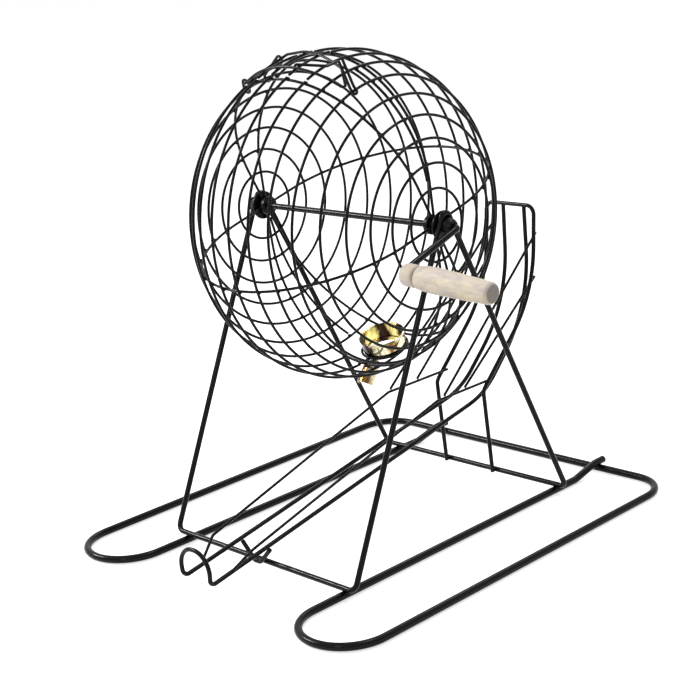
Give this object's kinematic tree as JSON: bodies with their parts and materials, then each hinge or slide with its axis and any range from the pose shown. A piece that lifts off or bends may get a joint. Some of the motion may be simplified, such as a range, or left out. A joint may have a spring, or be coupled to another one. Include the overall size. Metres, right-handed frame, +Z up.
{
  "type": "wire raffle drum with crank",
  "caption": "Wire ball cage turned by a crank on a rod stand, with a hatch, a cup that drops one ball at a time and a sloping wire run that holds the drawn balls.",
  "frame": {"origin": "on the floor, under the middle of the axle between the two bearings", "axes": "+X along the axle towards the crank, -Y towards the front where the drawn balls come to rest, +Z up"},
  "size_m": [0.2861, 0.3062, 0.3006],
  "materials": {
    "black_rod": "gloss black paint",
    "cage_wire": "gloss black paint on thin wire",
    "black_bearing": "moulded, gloss black",
    "gold_cup": "polished",
    "wood_grip": "pale turned wood, matte"
  },
  "bodies": {
    "stand": {"base_frame": "black_rod", "stand_frame": "black_rod", "bearing_crank_side": "black_bearing", "bearing_far_side": "black_bearing", "run_frame": "black_rod", "floor_rails": "black_rod", "rail_saddle": "black_rod", "guard_left": "black_rod", "guard_right": "black_rod", "chord_low_left": "black_rod", "chord_low_right": "black_rod", "chord_high_left": "black_rod", "chord_high_right": "black_rod"},
    "cage": {"cage_ring_01": "cage_wire", "cage_ring_02": "cage_wire", "cage_ring_03": "cage_wire", "cage_ring_04": "cage_wire", "cage_ring_05": "cage_wire", "cage_ring_06": "cage_wire", "cage_ring_07": "cage_wire", "cage_ring_08_front": "cage_wire", "cage_ring_08_back": "cage_wire", "cage_ring_09_front": "cage_wire", "cage_ring_09_back": "cage_wire", "cage_ring_10": "cage_wire", "cage_ring_11": "cage_wire", "cage_ring_12": "cage_wire", "cage_ring_13": "cage_wire", "cage_ring_14": "cage_wire", "cage_ring_15": "cage_wire", "cage_ring_16": "cage_wire", "cage_ring_17": "cage_wire", "cage_ring_18": "cage_wire", "cage_rib_back": "cage_wire", "cage_rib_front": "cage_wire", "cage_rib_door_back": "cage_wire", "cage_rib_door_front": "cage_wire", "cage_rib_outlet_front": "cage_wire", "cage_rib_outlet_back": "cage_wire", "cage_rib_outlet_left": "cage_wire", "cage_rib_outlet_right": "cage_wire", "cage_rib_door_stiffener": "cage_wire", "cage_hub_crank_side": "black_bearing", "cage_hub_far_side": "black_bearing", "crank_rod": "black_rod", "axle_end_nut": "black_bearing", "ball_cup": "gold_cup", "cup_rim": "gold_cup", "cup_carrier": "cage_wire", "cup_lip": "gold_cup"},
    "hatch": {"door_frame": "cage_wire", "door_wire_1": "cage_wire", "door_wire_2": "cage_wire", "door_wire_3": "cage_wire", "door_wire_4": "cage_wire", "door_wire_5": "cage_wire", "door_hinge_loop_back": "cage_wire", "door_hinge_loop_front": "cage_wire"},
    "latch": {"door_latch": "cage_wire"},
    "grip": {"crank_grip": "wood_grip"}
  },
  "joints": [
    {"name": "cage_spin", "type": "hinge", "parent": "stand", "child": "cage", "pos_m": [0, 0, 0.1992], "axis": [1, 0, 0], "continuous": true},
    {"name": "grip_spin", "type": "hinge", "parent": "cage", "child": "grip", "pos_m": [0.09, -0.0485, 0.18344], "axis": [0.9982, 0, -0.0593], "continuous": true},
    {"name": "hatch_hinge", "type": "hinge", "parent": "cage", "child": "hatch", "pos_m": [-0.04672, -0.02194, 0.28108], "axis": [0, -0.9659, -0.2588], "range_deg": [0, 110]},
    {"name": "latch_lift", "type": "hinge", "parent": "hatch", "child": "latch", "pos_m": [0.00543, -0.03471, 0.29303], "axis": [0, -0.9379, -0.3469], "range_deg": [0, 40]}
  ]
}
